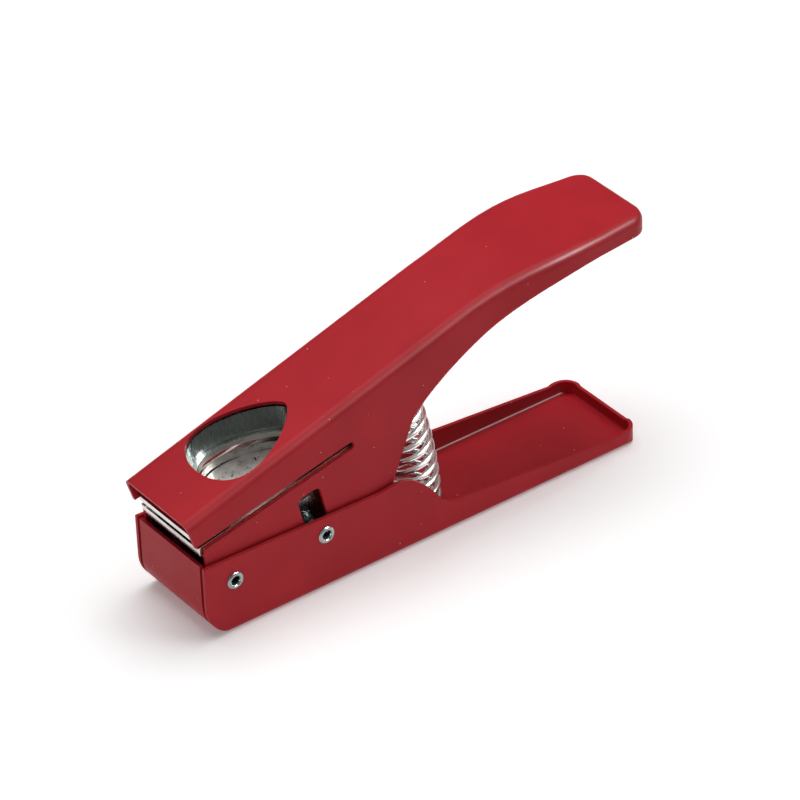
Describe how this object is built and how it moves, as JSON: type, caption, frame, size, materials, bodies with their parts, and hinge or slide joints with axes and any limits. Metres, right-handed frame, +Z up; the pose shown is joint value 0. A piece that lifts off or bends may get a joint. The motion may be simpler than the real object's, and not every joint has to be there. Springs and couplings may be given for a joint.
{
  "type": "hand lever plectrum punch",
  "caption": "Hand-lever punch with a stamped sheet base and rear tray, a sprung channel lever, and a plectrum-shaped die and punch under a window in the lever",
  "frame": {"origin": "middle of the base underside rectangle that the whole object stands over: the centre of the bounding box at its lowest height", "axes": "+X from the die end towards the handle end, +Y across the base, +Z up"},
  "size_m": [0.175, 0.038, 0.082],
  "materials": {
    "red_powder_coat": "satin red powder coat on sheet steel",
    "zinc_plate": "bright zinc plate on sheet and turned steel",
    "bright_nickel": "bright nickel plate",
    "ground_steel": "ground tool steel, slightly stained"
  },
  "bodies": {
    "base": {"base_frame": "red_powder_coat", "pivot_rivet": "zinc_plate", "stop_rivet": "zinc_plate", "pivot_sleeve": "zinc_plate", "punch_spacer_near": "zinc_plate", "punch_spacer_far": "zinc_plate", "return_spring": "bright_nickel"},
    "lever": {"lever_shell": "red_powder_coat", "upper_die_plate": "bright_nickel", "lower_die_plate": "bright_nickel", "window_collar": "zinc_plate", "die_spacer": "zinc_plate", "pivot_bracket": "zinc_plate", "die_rivet_near": "zinc_plate", "die_rivet_far": "zinc_plate", "spring_seat": "zinc_plate"},
    "punch": {"punch_block": "ground_steel", "punch_carrier": "zinc_plate", "punch_screw_front": "zinc_plate", "punch_screw_rear": "zinc_plate"}
  },
  "joints": [
    {"name": "lever_pivot", "type": "hinge", "parent": "base", "child": "lever", "pos_m": [-0.0728, 0, 0.0183], "axis": [0, 1, 0], "range_deg": [0, 12.5], "stiffness_Nm_per_rad": 2, "springref_deg": -17.19, "deforming": ["return_spring"]},
    {"name": "punch_slide", "type": "slide", "parent": "lever", "child": "punch", "axis": [-0.2164, 0, 0.9763], "range_m": [0, 0.0074]}
  ],
  "couplings": [
    {"joint": "punch_slide", "follows": "lever_pivot", "m_per_rad": 0.033365}
  ]
}
